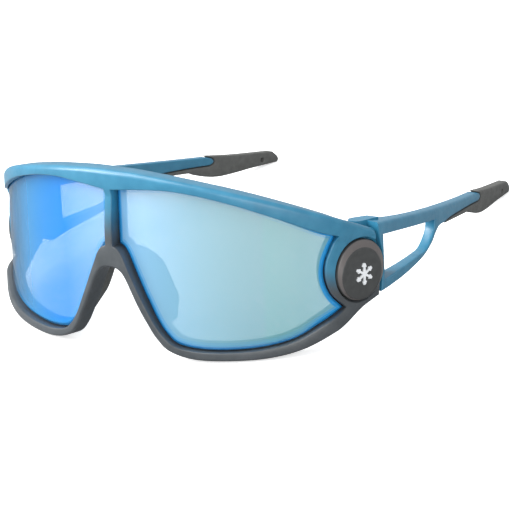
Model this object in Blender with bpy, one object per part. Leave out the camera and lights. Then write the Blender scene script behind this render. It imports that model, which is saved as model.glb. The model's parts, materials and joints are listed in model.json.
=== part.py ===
"""Sports glacier glasses: two mirrored lenses in one moulded half-open frame, round side caps,
and two folding temples with a window and a rubber tip.

The front is drawn on the lens surface: s runs along the surface to the wearer's left, v up it
and n straight out of it. Sizes below are in millimetres, and MM turns them into metres. The
wearer's left is +X, the front faces -Y, and the glasses stand on z = 0 on the lower rims and
the ends of the temple tips.
"""

import math

import bpy
import numpy as np
from mathutils import Matrix, Vector
from mathutils.geometry import delaunay_2d_cdt

MM = 0.001

# The lens surface's turn in degrees at each s: it tightens outwards and is straight at the caps.
SURFACE_TURN = [
    (0, 0), (20, 12.1), (40, 27.0), (50, 34.9), (58, 42.8), (64, 50.8), (67.5, 58.0), (70.5, 74.0),
]
TABLE_STEP = 0.25
SOFTENED_OVER = 4.0  # length along the surface over which its turn is averaged

# The assembly.
LENS_LEAN = 8.2  # degrees between the lens surface's upright and the wearer's
REST_TILT = 15.79  # degrees that the glasses tip back to stand on rims and temple tips
FIT_GAP = 0.35

# The front. Each PROUD is how far that part stands out of the lens surface.
LENS_THICKNESS = 2.0
LENS_BEVEL = (1.0, 0.7)  # how wide and how deep
LENS_EDGE = 0.15
BROW_PROUD = 2.8
BROW_END_PROUD = 1.3
RIM_PROUD = 2.0
NOSE_PROUD = 3.0
LUG_PROUD = 0.3
FRAME_BACK = -3.6
FRAME_EDGE = 0.5
BROW_EDGE = 1.3
SHOULDER = 0.3  # share of an edge's width where its slope changes
RIM_EDGE = 0.3
SEAT_GAP = 0.5
LIP_OVER_LENS = 0.6
FLANGE_FRONT = -LENS_THICKNESS - FIT_GAP
FLANGE_REACH = [1.3, 2.0, 1.2, 2.0]  # behind the lens at its rib, nose and bottom, hollow and top
BROW_OVERLAP = 1.0

# The nose pad.
PAD_GAP = 0.3  # from the back of the frame
PAD_MIDDLE = 1.6  # the offset that its section shrinks to at each end
PAD_FLARE_AT = 3.0  # depth beyond which the section flares
PAD_BRIDGE_FLARE = 0.45  # share of the flare that is left over the bridge

# The round cap at each end.
CAP_S, CAP_V = 77.6, -24.45
CAP_RADIUS = 9.2
CAP_TOP = 1.5
CAP_FACE_RADIUS = 7.7
CAP_FACE_OFFSET = (-0.25, -1.05)  # towards the lens and down
CAP_RIM_TOP = 0.75
CAP_EDGE = 0.25
CAP_BOTTOM_EDGE = 0.2
CAP_BORE = 1.3
CAP_BORE_TOP = 0.4
POCKET_FLOOR = -1.3
CAP_BOTTOM = POCKET_FLOOR + 0.3
POCKET_CHAMFER = 0.35
BADGE_AT = (0.3, -1.1)
BADGE_HEIGHT = 0.5
BADGE_GAP = 0.3
SCREW_IN = 3.0  # from the cap's centre towards the lens, clear of the hinge
SCREW_HOLE = 1.35
SCREW_HEAD_HOLE = 2.6
SCREW_HEAD_FLOOR = -2.1

# The hinge, in the front's plan view, and its three knuckles along the axis.
HINGE_S = 82.5
KNUCKLE_RADIUS = 2.5
HINGE_N = FRAME_BACK - 0.3 - KNUCKLE_RADIUS
HINGE_V = -15.0
UPPER_KNUCKLE = (-15.0, -11.3)
FRAME_KNUCKLE = (-24.1, -15.35)
LOWER_KNUCKLE = (-29.8, -25.0)
WASHER = (-24.7, -24.4)
INSERT = (-14.7, -12.8)
INSERT_RADIUS = 1.6
PIN_RADIUS = 0.8
PIN_HOLE = 1.1
PIN_TOP = -12.5
PIN_HEAD_RADIUS = 1.4
PIN_HEAD_TOP = -28.3
PIN_HEAD_BOTTOM = -29.5

# The temple.
TEMPLE_THICKNESS = 3.6
TEMPLE_ROOT_EXTRA = 8.0  # extra thickness at the hinge
ROOT_LENGTH = 7.0  # length over which that falls to about a third
TEMPLE_EDGE_DROP = 0.45
INNER_EDGE = 0.3
MITRE = 0.4  # how far the front end goes back for each millimetre of depth
MITRE_DEPTH = TEMPLE_THICKNESS + 3.7  # the depth of the inner face at the front end
MITRE_REACH = 16.0
# y and x of the outer face, in the pivot's frame.
TEMPLE_CURVE = [(-9, 8.2), (3, 7.3), (31.1, 4.5), (57.1, 0.35), (83.1, -4.85), (115.1, -11.25)]
STRAIGHT_TIP = 83.1  # y beyond which that curve is straight
WINDOW_SHIFT = 6.0  # the window's front edge on the inner face, behind that on the outer one
TIP_HOLE = (105, 2.43)
TIP_HOLE_RADIUS = 0.8

COARSE = 3.0  # spacing of the points along the large outlines
CIRCLE_STEPS = 28


# ---------------------------------------------------------------- curves and surfaces


def lens_table():
    """s, x, depth and turn along the lens surface in plan."""
    s = np.arange(0, 100 + TABLE_STEP, TABLE_STEP)
    turn = np.radians(np.interp(s, *zip(*SURFACE_TURN)))
    reach = round(SOFTENED_OVER / TABLE_STEP / 2)
    padded = np.concatenate([-turn[reach:0:-1], turn, np.full(reach, turn[-1])])
    turn = np.convolve(padded, np.full(2 * reach + 1, 1 / (2 * reach + 1)), "valid")
    middle = (turn[1:] + turn[:-1]) / 2
    x = np.concatenate([[0], np.cumsum(np.cos(middle)) * TABLE_STEP])
    depth = np.concatenate([[0], np.cumsum(np.sin(middle)) * TABLE_STEP])
    return s, x, depth, turn


LENS_TABLE = lens_table()


def on_front(s, v, n):
    """A point of the front, in the front's own frame and in metres."""
    side = -1 if s < 0 else 1
    x, depth, turn = (np.interp(abs(s), LENS_TABLE[0], row) for row in LENS_TABLE[1:])
    return Vector((side * (x + n * math.sin(turn)), depth - n * math.cos(turn), v)) * MM


def on_temple(y, z, x):
    """A point of a temple, in its pivot's frame: y behind the hinge, z above it, x outwards."""
    return Vector((x, y, z)) * MM


def smooth(points, step):
    """Evenly spaced points on a smooth open curve through the given ones."""
    given = np.array(points, float)
    if len(given) == 2:
        dense = given
    else:
        padded = np.vstack([2 * given[0] - given[1], given, 2 * given[-1] - given[-2]])
        rows = []
        for before, start, end, after in zip(padded, padded[1:], padded[2:], padded[3:]):
            for t in np.linspace(0, 1, 16, endpoint=False):
                bend = (2 * before - 5 * start + 4 * end - after) * t * t
                twist = (3 * start - before - 3 * end + after) * t**3
                rows.append((2 * start + (end - before) * t + bend + twist) / 2)
        dense = np.vstack([rows, given[-1]])
    return resample(dense, max(1, round(length_of(dense) / step)))


def length_of(points):
    return float(np.linalg.norm(np.diff(points, axis=0), axis=1).sum())


def resample(points, pieces):
    """The same curve with so many equal pieces."""
    along = np.concatenate([[0], np.cumsum(np.linalg.norm(np.diff(points, axis=0), axis=1))])
    wanted = np.linspace(0, along[-1], pieces + 1)
    return np.column_stack([np.interp(wanted, along, column) for column in points.T])


def normals(points):
    """The unit normal to the left of an open curve at each of its points."""
    ahead = np.gradient(points, axis=0)
    ahead /= np.linalg.norm(ahead, axis=1)[:, None]
    return np.column_stack([-ahead[:, 1], ahead[:, 0]])


def shifted(stretches, distances):
    """Closed outline with each stretch moved to its left, keeping every stretch's point count."""
    corners = []
    for i, stretch in enumerate(stretches):
        a, b = normals(stretches[i - 1])[-1], normals(stretch)[0]
        da, db = distances[i - 1], distances[i]
        dot = float(a @ b)
        if dot > 0.97:
            move = (a + b) / 2 * (da + db) / 2
        else:
            move = (da * (a - dot * b) + db * (b - dot * a)) / (1 - dot * dot)
        corners.append(stretch[0] + move)
    everything = np.vstack(stretches)
    result = []
    for i, (stretch, distance) in enumerate(zip(stretches, distances)):
        moved = stretch + normals(stretch) * distance
        gap = np.linalg.norm(moved[:, None] - everything[None], axis=2).min(axis=1)
        kept = moved[gap > abs(distance) * 0.98][1:-1]
        ends = corners[i], corners[(i + 1) % len(stretches)]
        result.append(resample(np.vstack([ends[0], kept, ends[1]]), len(stretch) - 1))
    return result


def closed(stretches):
    """One ring of points from stretches that meet end to end."""
    return np.vstack([stretch[:-1] for stretch in stretches])


def mirrored(points):
    return [(-u, v) for u, v in reversed(points)]


def circle(radius, centre=(0.0, 0.0), steps=CIRCLE_STEPS):
    angles = np.arange(steps) * 2 * math.pi / steps
    return np.column_stack([centre[0] + radius * np.cos(angles), centre[1] + radius * np.sin(angles)])


def inside(point, outline):
    """Whether a closed outline goes round the point."""
    x, y = outline[:, 0] - point[0], outline[:, 1] - point[1]
    next_x, next_y = np.roll(x, -1), np.roll(y, -1)
    crosses = (y > 0) != (next_y > 0)
    reach = x[crosses] - y[crosses] * (next_x - x)[crosses] / (next_y - y)[crosses]
    return bool(np.count_nonzero(reach > 0) % 2)


def ease(value):
    value = np.clip(value, 0, 1)
    return value * value * (3 - 2 * value)


# ---------------------------------------------------------------- building meshes


class Skin:
    """A closed surface made of rings of points, walls between rings and flat-ish fills."""

    def __init__(self, place):
        self.place = place
        self.points = []
        self.flat = []
        self.faces = []

    def ring(self, outline, height):
        """Adds a ring at this height, one value or one for each point, and gives its indices."""
        heights = np.broadcast_to(height, len(outline))
        start = len(self.points)
        for (u, v), n in zip(outline, heights):
            self.points.append(self.place(u, v, n))
            self.flat.append((u, v))
        return list(range(start, len(self.points)))

    def wall(self, rings):
        """Walls between neighbouring rings, which run front to back with the material on their left."""
        for front, back in zip(rings, rings[1:]):
            for i, j in zip(range(len(front)), [*range(1, len(front)), 0]):
                self.faces.append((front[i], back[i], back[j], front[j]))

    def fill(self, rings, height=None, spacing=0.0, back=False):
        """Fills the area that the rings bound, with points inside it this far apart."""
        used = [index for ring in rings for index in ring]
        flat = [self.flat[index] for index in used]
        edges = []
        start = 0
        for ring in rings:
            edges += [(start + i, start + (i + 1) % len(ring)) for i in range(len(ring))]
            start += len(ring)
        if spacing:
            low, high = np.min(flat, axis=0), np.max(flat, axis=0)
            grid = [
                (u, v)
                for u in np.arange(low[0] + spacing / 2, high[0], spacing)
                for v in np.arange(low[1] + spacing / 2, high[1], spacing)
            ]
            for point in grid:
                if np.linalg.norm(np.array(flat[:start]) - point, axis=1).min() > spacing * 0.6:
                    flat.append(point)
        result = delaunay_2d_cdt([Vector(p) for p in flat], edges, [], 1, 1e-7)
        holes = [np.array([self.flat[index] for index in ring]) for ring in rings[1:]]
        index_of = {}
        for face in result[2]:
            middle = np.mean([result[0][corner] for corner in face], axis=0)
            if any(inside(middle, hole) for hole in holes):
                continue
            for corner in face:
                origin = result[3][corner][0]
                if origin >= start and corner not in index_of:
                    u, v = flat[origin]
                    self.points.append(self.place(u, v, height))
                    self.flat.append((u, v))
                    index_of[corner] = len(self.points) - 1
                elif corner not in index_of:
                    index_of[corner] = used[origin]
            corners = [index_of[corner] for corner in face]
            self.faces.append(tuple(reversed(corners)) if back else tuple(corners))

    def mesh(self, name):
        mesh = bpy.data.meshes.new(name)
        mesh.from_pydata(self.points, [], self.faces)
        mesh.shade_smooth()
        mesh.set_sharp_from_angle(angle=math.radians(35))
        return mesh


def clear_scene():
    for found in list(bpy.data.objects):
        bpy.data.objects.remove(found, do_unlink=True)


def material(name, colour, roughness, metallic=0.0):
    made = bpy.data.materials.new(name)
    made.use_nodes = True
    shader = made.node_tree.nodes["Principled BSDF"]
    shader.inputs["Base Color"].default_value = (*colour, 1)
    shader.inputs["Roughness"].default_value = roughness
    shader.inputs["Metallic"].default_value = metallic
    return made


def add(name, mesh, parent, finish, location=(0, 0, 0)):
    made = bpy.data.objects.new(name, mesh)
    bpy.context.scene.collection.objects.link(made)
    made.parent = parent
    made.location = location
    if finish:
        mesh.materials.append(finish)
    return made


def add_empty(name, parent=None, matrix=None):
    made = bpy.data.objects.new(name, None)
    bpy.context.scene.collection.objects.link(made)
    made.parent = parent
    made.empty_display_size = 0.01
    if matrix is not None:
        made.matrix_local = matrix
    return made


def mirrored_mesh(mesh, name):
    """The same mesh for the wearer's right."""
    made = mesh.copy()
    made.name = name
    made.transform(Matrix.Diagonal((-1, 1, 1, 1)))
    made.flip_normals()
    return made


def boolean(target, tool, operation):
    tool.hide_render = True
    tool.display_type = "WIRE"
    made = target.modifiers.new(tool.name, "BOOLEAN")
    made.operation = operation
    made.object = tool
    made.solver = "EXACT"


def turned(name, profile, steps=CIRCLE_STEPS):
    """A solid of revolution about Z from a profile of (radius, height), from top to bottom."""
    skin = Skin(lambda u, v, n: Vector((u, v, n)) * MM)
    rings = [skin.ring(circle(radius, steps=steps), height) for radius, height in profile]
    skin.wall(rings)
    skin.fill([rings[0]])
    skin.fill([rings[-1]], back=True)
    return skin.mesh(name)


def prism(name, outline, low, high):
    """A plan outline of (x, depth), anticlockwise seen from above, between two heights."""
    skin = Skin(lambda u, v, n: Vector((u, v, n)) * MM)
    rings = [skin.ring(np.array(outline), high), skin.ring(np.array(outline), low)]
    skin.wall(rings)
    skin.fill([rings[0]])
    skin.fill([rings[1]], back=True)
    return skin.mesh(name)


# ---------------------------------------------------------------- outlines


def front_outline(step):
    """The frame's outer outline, anticlockwise from its lower right corner as the wearer sees it."""
    lower = [
        (2.5, -22.8), (4.1, -24.0), (5.4, -26.0), (7.3, -30.0), (9.2, -34.0), (11.6, -38.4),
        (14.6, -43.2), (18.4, -46.6), (26, -48.5), (37, -48.5), (48, -47.6),
        (58, -45.3), (68.3, -40.8), (76.5, -37.0), (81.3, -35.2), (85.3, -33.8),
    ]
    end = [(85.3, -33.8), (85.8, -26.0), (84.6, -17.6), (82.8, -12.8)]
    top = [(82.8, -12.8), (76.4, -10.1), (66.3, -6.1), (54, -1.8), (41, 1.9), (25, 5.0), (10, 6.7)]
    return [
        smooth([*mirrored(lower), (0, -22.3), *lower], step),
        smooth(end, step),
        smooth([*top, (0, 7.0), *mirrored(top)], step),
        smooth(mirrored(end), step),
    ]


def lens_outline(step):
    """The left lens: rib side, nose and bottom, lower outer corner, hollow round the cap, top."""
    nose_and_bottom = [
        (1.6, -15.6), (3.2, -16.4), (4.6, -18.3), (5.8, -21.0), (7.6, -25.0), (9.5, -29.2),
        (11.5, -33.2), (14.2, -38.4), (17.2, -42.3), (21.0, -44.8), (30, -45.8), (43.6, -45.0),
        (55, -42.6), (63.6, -38.3), (71.1, -34.6),
    ]
    hollow = [(71.1, -34.6), (66.9, -30.5), (64.8, -25.5), (64.9, -20.6), (66.7, -16.1), (69.4, -11.6)]
    top = [
        (69.4, -11.6), (63.2, -9.5), (54, -5.6), (45, -2.1), (38.3, 0.1), (29, 2.3), (19.5, 3.4),
        (10, 3.0), (1.6, 2.2),
    ]
    return [
        smooth([(1.6, 2.2), (1.6, -15.6)], step),
        smooth(nose_and_bottom, step),
        smooth(hollow, step),
        smooth(top, step),
    ]


def proud_at(s, v):
    """How far the frame's front stands out of the lens surface."""
    s = np.abs(s)
    # The rim sinks to the lug past s = 56, but stays proud along the lower edge as far as s = 80.
    low_rim = ease((-33 - v) / 5) * np.clip((80 - s) / 12, 0, 1)
    rim = RIM_PROUD + (LUG_PROUD - RIM_PROUD) * ease((s - 56) / 6) * (1 - low_rim)
    # It rises towards the nose, inside s = 18 and below the brow.
    rim = rim + (NOSE_PROUD - RIM_PROUD) * ease((18 - s) / 12) * ease((2 - v) / 14)
    # The brow thins towards its ends past s = 40, above a line that falls outwards.
    brow = BROW_PROUD + (BROW_END_PROUD - BROW_PROUD) * ease((s - 40) / 24)
    brow_line = np.interp(s, [0, 20, 45, 60, 66, 85], [0.5, 1.5, -4.5, -11, -13, -14.5])
    return rim + (brow - rim) * ease((v - brow_line + 1.5) / 2.0)


def proud(outline):
    return proud_at(outline[:, 0], outline[:, 1])


# ---------------------------------------------------------------- the front


def frame_mesh():
    """The moulded frame: a deep rim that holds each lens against a flange behind it."""
    skin = Skin(on_front)
    outer = front_outline(COARSE)
    edges = [FRAME_EDGE, FRAME_EDGE, BROW_EDGE, FRAME_EDGE]
    crest = closed(shifted(outer, edges))
    shoulder = closed(shifted(outer, [edge * SHOULDER for edge in edges]))
    outside = closed(outer)
    drop = np.concatenate([np.full(len(row) - 1, edge) for row, edge in zip(outer, edges)])
    back = closed(shifted(outer, [FRAME_EDGE] * 4))
    outer_rings = [
        skin.ring(crest, proud(crest)),
        skin.ring(shoulder, proud(outside) - drop * SHOULDER),
        skin.ring(outside, proud(outside) - drop),
        skin.ring(outside, FRAME_BACK + FRAME_EDGE),
        skin.ring(back, FRAME_BACK),
    ]
    skin.wall(outer_rings)
    fronts, backs = [outer_rings[0]], [outer_rings[-1]]
    lens = lens_outline(COARSE)
    rim = [-FIT_GAP, -FIT_GAP, -FIT_GAP, BROW_OVERLAP]
    face = closed(shifted(lens, [distance - RIM_EDGE for distance in rim]))
    lip = closed(shifted(lens, rim))
    seat = closed(shifted(lens, [-SEAT_GAP] * 4))
    ledge = closed(shifted(lens, FLANGE_REACH))
    under_lip = np.minimum(FIT_GAP, proud(lip) - LIP_OVER_LENS)
    opening = [
        (face, proud(face)),
        (lip, proud(lip) - RIM_EDGE),
        (lip, under_lip),
        (seat, under_lip),
        (seat, FLANGE_FRONT),
        (ledge, FLANGE_FRONT),
        (ledge, FRAME_BACK),
    ]
    for side in (1, -1):
        order = slice(None, None, -side)
        made = []
        for outline, height in opening:
            level = np.broadcast_to(height, len(outline))
            made.append(skin.ring((outline * (side, 1))[order], level[order]))
        skin.wall(made)
        fronts.append(made[0])
        backs.append(made[-1])
    skin.fill(fronts)
    skin.fill(backs, back=True)
    return skin.mesh("front_frame")


def lens_mesh():
    """The left lens, with a wide bevel round its front face."""
    skin = Skin(on_front)
    outline = lens_outline(COARSE)
    bevelled = closed(shifted(outline, [LENS_BEVEL[0]] * 4))
    eased = closed(shifted(outline, [LENS_EDGE] * 4))
    edge = closed(outline)
    rings = [
        skin.ring(bevelled, 0),
        skin.ring(edge, -LENS_BEVEL[1]),
        skin.ring(edge, LENS_EDGE - LENS_THICKNESS),
        skin.ring(eased, -LENS_THICKNESS),
    ]
    skin.wall(rings)
    skin.fill([rings[0]], height=0, spacing=6.0)
    skin.fill([rings[-1]], height=-LENS_THICKNESS, spacing=6.0, back=True)
    return skin.mesh("lens_left")


def nose_pad_mesh():
    """A soft saddle behind the nose arch, flared outwards on both sides of the nose."""
    path = [(5.2, -26.0), (9.4, -33.6), (14.0, -41.0)]
    run = smooth([*mirrored(path), (0, -21.6), *path], 2.2)
    away = normals(run)
    # Its section, as depths behind the frame and offsets away from the nose.
    section = [
        (0.3, 0.4), (0.0, 1.2), (0.3, 2.4), (4.0, 3.4), (7.6, 5.6), (8.6, 5.6), (8.8, 4.4), (6.0, 2.4),
    ]
    ends = ease(np.minimum(np.arange(len(run)), np.arange(len(run))[::-1]) / 3.0)
    points, faces = [], []
    for (s, v), (ds, dv), size in zip(run, away, ends):
        flare = PAD_BRIDGE_FLARE + (1 - PAD_BRIDGE_FLARE) * ease(abs(s) / 6.0)
        depth_share = 0.55 + 0.45 * size
        width_share = 0.5 + 0.5 * size
        for depth, offset in section:
            flared = offset * flare if depth > PAD_FLARE_AT else offset
            reach = PAD_MIDDLE + (flared - PAD_MIDDLE) * width_share
            back = FRAME_BACK - PAD_GAP - depth * depth_share
            points.append(on_front(s + ds * reach, v + dv * reach, back))
    count = len(section)
    for i in range(len(run) - 1):
        for j in range(count):
            a, b = i * count + j, i * count + (j + 1) % count
            faces.append((a, a + count, b + count, b))
    faces.append(tuple(range(count)))
    faces.append(tuple(range((len(run) - 1) * count, len(run) * count))[::-1])
    mesh = bpy.data.meshes.new("nose_pad")
    mesh.from_pydata(points, [], faces)
    mesh.shade_smooth()
    return mesh


# ---------------------------------------------------------------- the round caps


def cap_mesh():
    """The cap, dished by a second circle set low in it, with a blind hole for its screw."""
    skin = Skin(lambda u, v, n: Vector((u, v, n)) * MM)
    levels = [
        (CAP_FACE_RADIUS, CAP_FACE_OFFSET, CAP_TOP),
        (CAP_RADIUS - CAP_EDGE, (0, 0), CAP_RIM_TOP),
        (CAP_RADIUS, (0, 0), CAP_RIM_TOP - CAP_EDGE),
        (CAP_RADIUS, (0, 0), CAP_BOTTOM + CAP_BOTTOM_EDGE),
        (CAP_RADIUS - CAP_BOTTOM_EDGE, (0, 0), CAP_BOTTOM),
    ]
    rings = [skin.ring(circle(radius, centre), height) for radius, centre, height in levels]
    skin.wall(rings)
    bore = circle(CAP_BORE, (-SCREW_IN, 0))[::-1]
    hole = [skin.ring(bore, height) for height in (CAP_BORE_TOP, CAP_BOTTOM)]
    skin.wall(hole)
    skin.fill([rings[0]])
    skin.fill([rings[-1], hole[1]], back=True)
    skin.fill([hole[0]], back=True)
    return skin.mesh("disc_cap_left")


def pocket_mesh():
    """What the cap's pocket takes out of the lug, with a chamfer round its mouth."""
    pocket = CAP_RADIUS + FIT_GAP
    return turned("pocket", [
        (pocket + 1.2, LUG_PROUD + 3.7),  # flared well clear of the lug
        (pocket + POCKET_CHAMFER, LUG_PROUD),
        (pocket, LUG_PROUD - POCKET_CHAMFER),
        (pocket, POCKET_FLOOR),
    ])


def screw_hole_mesh():
    """The screw's clearance hole and the counterbore for its head."""
    return turned("screw_hole", [
        (SCREW_HOLE, POCKET_FLOOR + 0.5), (SCREW_HOLE, SCREW_HEAD_FLOOR),
        (SCREW_HEAD_HOLE, SCREW_HEAD_FLOOR), (SCREW_HEAD_HOLE, FRAME_BACK - 1),
    ])


def badge_mesh():
    """A raised six-armed snow crystal."""
    arm, notch, half = 3.3, 0.75, 0.42
    outline = []
    for step in range(6):
        angle = math.radians(90 + 60 * step)
        along = np.array([math.cos(angle), math.sin(angle)])
        across = np.array([-along[1], along[0]])
        outline += [along * arm - across * half, along * arm + across * half]
        between = angle + math.radians(30)
        outline.append(np.array([math.cos(between), math.sin(between)]) * notch)
    skin = Skin(lambda u, v, n: Vector((u, v, n)) * MM)
    rings = [skin.ring(np.array(outline), height) for height in (BADGE_HEIGHT, 0.0)]
    skin.wall(rings)
    skin.fill([rings[0]])
    skin.fill([rings[1]], back=True)
    return skin.mesh("disc_badge_left")


def disc_screw_mesh():
    """The screw that holds the cap, put in from behind, with a socket in its pan head."""
    shank, head, under_head, head_end, socket_end = 0.95, 2.25, -2.4, -3.55, -2.7
    profile = [
        (shank, 0.1), (shank, under_head), (head - 0.05, under_head), (head, under_head - 0.2),
        (head, head_end + 0.15), (head - 0.25, head_end),
    ]
    skin = Skin(lambda u, v, n: Vector((u, v, n)) * MM)
    rings = [skin.ring(circle(radius), height) for radius, height in profile]
    six_sided = circle(0.8, steps=6)[::-1]
    socket = [skin.ring(six_sided, height) for height in (socket_end, head_end)]
    skin.wall(rings)
    skin.wall(socket)
    skin.fill([rings[0]])
    skin.fill([rings[-1], socket[1]], back=True)
    skin.fill([socket[0]], back=True)
    return skin.mesh("disc_screw_left")


# ---------------------------------------------------------------- the hinge


def hinge_plan():
    """The hinge axis in plan, the direction out of the lug and the direction along it."""
    turn = float(LENS_TABLE[3][-1])
    axis = on_front(HINGE_S, 0, HINGE_N) / MM
    out = np.array([math.sin(turn), -math.cos(turn)])
    along = np.array([math.cos(turn), math.sin(turn)])
    return np.array([axis.x, axis.y]), out, along


def knuckle_outline(corners):
    """A round knuckle joined to corners given as (out of, along) the lug from the axis."""
    axis, out, along = hinge_plan()
    first = math.atan2(corners[-1][1], corners[-1][0])
    last = math.atan2(corners[0][1], corners[0][0]) + 2 * math.pi
    start = first + math.acos(min(1, KNUCKLE_RADIUS / math.hypot(*corners[-1])))
    stop = last - math.acos(min(1, KNUCKLE_RADIUS / math.hypot(*corners[0])))
    outline = [axis + out * a + along * b for a, b in corners]
    for angle in np.linspace(start, stop, 14):
        outline.append(axis + KNUCKLE_RADIUS * (out * math.cos(angle) + along * math.sin(angle)))
    return outline


def tube(name, outer, inner, low, high, steps=24):
    """A plain tube about the hinge axis."""
    skin = Skin(lambda u, v, n: Vector((u, v, n)) * MM)
    outside = [skin.ring(circle(outer, steps=steps), height) for height in (high, low)]
    bore = [skin.ring(circle(inner, steps=steps)[::-1], height) for height in (high, low)]
    skin.wall(outside)
    skin.wall(bore)
    skin.fill([outside[0], bore[0]])
    skin.fill([outside[1], bore[1]], back=True)
    return skin.mesh(name)


def temple_bore_mesh():
    """The pin's hole through the temple's knuckles, wider for its head and for the insert."""
    gap = PIN_HOLE - PIN_RADIUS
    head = PIN_HEAD_RADIUS + gap
    seat = INSERT_RADIUS + gap
    return turned("temple_bore", [
        (PIN_HOLE, PIN_TOP + gap), (PIN_HOLE, INSERT[1] + gap), (seat, INSERT[1] + gap),
        (seat, UPPER_KNUCKLE[0] - 0.2), (PIN_HOLE, UPPER_KNUCKLE[0] - 0.2),
        (PIN_HOLE, PIN_HEAD_TOP + gap), (head, PIN_HEAD_TOP + gap), (head, LOWER_KNUCKLE[0] - 1),
    ], steps=20)


def hinge_screw_mesh():
    """The hinge screw, put in from below, with a socket in its head."""
    profile = [
        (PIN_RADIUS, PIN_TOP), (PIN_RADIUS, PIN_HEAD_TOP),
        (PIN_HEAD_RADIUS, PIN_HEAD_TOP), (PIN_HEAD_RADIUS, PIN_HEAD_BOTTOM),
    ]
    skin = Skin(lambda u, v, n: Vector((u, v, n)) * MM)
    rings = [skin.ring(circle(radius, steps=20), height) for radius, height in profile]
    six_sided = circle(0.6, steps=6)[::-1]
    socket = [skin.ring(six_sided, PIN_HEAD_BOTTOM + up) for up in (0.7, 0.0)]
    skin.wall(rings)
    skin.wall(socket)
    skin.fill([rings[0]])
    skin.fill([rings[-1], socket[1]], back=True)
    skin.fill([socket[0]], back=True)
    return skin.mesh("hinge_screw_left")


# ---------------------------------------------------------------- the temples


def temple_outside(y):
    """x of the temple's outer face at y."""
    curve = smooth(TEMPLE_CURVE, 1.0)
    curve = np.vstack([curve[curve[:, 0] < STRAIGHT_TIP], TEMPLE_CURVE[-2:]])
    return np.interp(y, curve[:, 0], curve[:, 1])


def temple_inside(y):
    """x of its inner face at y."""
    thickness = TEMPLE_THICKNESS + TEMPLE_ROOT_EXTRA * np.exp(-np.maximum(y, 0) / ROOT_LENGTH)
    return temple_outside(y) - thickness


def mitre(outline, depth):
    """Moves the front end back with depth below the outer face, to lie along the lug's end."""
    moved = np.array(outline, float)
    front = np.clip(1 - moved[:, 0] / MITRE_REACH, 0, 1)
    moved[:, 0] += front * MITRE * depth
    return moved


def temple_outline(step):
    """The temple's side view, anticlockwise as seen from outside, from its lower front corner."""
    bottom = [
        (4.7, -17.6), (9.3, -16.8), (18.8, -14.7), (28.0, -12.1), (34.6, -9.7), (39.5, -6.7),
        (42.2, -3.9), (44.9, -2.1), (49.5, -1.37),
    ]
    under = [(49.5, -1.37), (54.1, -0.37), (63.1, 0.63), (72.4, 1.43), (80.5, 1.93)]
    end = [(80.5, 1.93), (82.3, 2.93), (81.1, 4.23), (78.6, 4.68)]
    top = [(78.6, 4.68), (67.1, 4.33), (53.1, 4.03), (31.1, 3.75), (-0.8, 3.6)]
    return [
        smooth(bottom, step),
        smooth(under, step),
        smooth(end, 1.2),
        smooth(top, step),
        smooth([(-0.8, 3.6), (-0.4, 1.8), (1.9, -2.8), (3.6, -6.0), (4.4, -9.5), (4.7, -17.6)], step),
    ]


def window_outline(step, front_shift):
    """The temple's window, anticlockwise, with its front edge moved back by this much."""
    bottom = [(6.5 + front_shift, -14.2 + front_shift * 0.2), (33.6, -8.8)]
    rear = [(33.6, -8.8), (36.0, -7.8), (38.8, -5.4), (40.5, -2.9), (40.6, 0.2)]
    top = [(40.6, 0.2), (3.6 + front_shift, -0.4)]
    front = [top[-1], bottom[0]]
    return [smooth(bottom, step), smooth(rear, step), smooth(top, step), smooth(front, step)]


def temple_skin(stretches, edges, holes=()):
    """A curved bar with this side view and bevelled edges, in the temple's frame."""
    skin = Skin(lambda y, z, x: on_temple(y, z, x))
    outside = closed(stretches)
    outer_edges, inner_edge = edges
    outer = closed(shifted(stretches, outer_edges))
    inner = closed(shifted(stretches, [inner_edge] * len(stretches)))

    def level(outline, share, step):
        y = outline[:, 0]
        return temple_outside(y) * (1 - share) + temple_inside(y) * share + step

    rings = []
    for outline, share, step, depth in [
        (outer, 0, 0, 0),
        (outside, 0, -TEMPLE_EDGE_DROP, TEMPLE_EDGE_DROP),
        (outside, 1, inner_edge, MITRE_DEPTH - 0.5),
        (inner, 1, 0, MITRE_DEPTH),
    ]:
        cut = mitre(outline, depth)
        rings.append(skin.ring(cut, level(cut, share, step)))
    skin.wall(rings)
    fronts, backs = [rings[0]], [rings[-1]]
    for hole in holes:
        made = []
        for outline, share, step in hole:
            reverse = outline[::-1]
            made.append(skin.ring(reverse, level(reverse, share, step)))
        skin.wall(made)
        fronts.append(made[0])
        backs.append(made[-1])
    skin.fill(fronts)
    skin.fill(backs, back=True)
    return skin


def temple_mesh():
    """The left temple without its knuckles."""
    stretches = temple_outline(COARSE)
    wide = window_outline(COARSE, 0.0)
    narrow = window_outline(COARSE, WINDOW_SHIFT)
    narrow = [resample(row, len(model) - 1) for row, model in zip(narrow, wide)]
    window = [
        (closed(shifted(wide, [-INNER_EDGE] * 4)), 0, 0),
        (closed(wide), 0, -INNER_EDGE),
        (closed(narrow), 1, INNER_EDGE),
        (closed(shifted(narrow, [-INNER_EDGE] * 4)), 1, 0),
    ]
    outer_edges = [0.35, 0.3, 0.35, 0.9, 0.35]  # widest along the top
    return temple_skin(stretches, (outer_edges, INNER_EDGE), [window]).mesh("temple_left")


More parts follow.
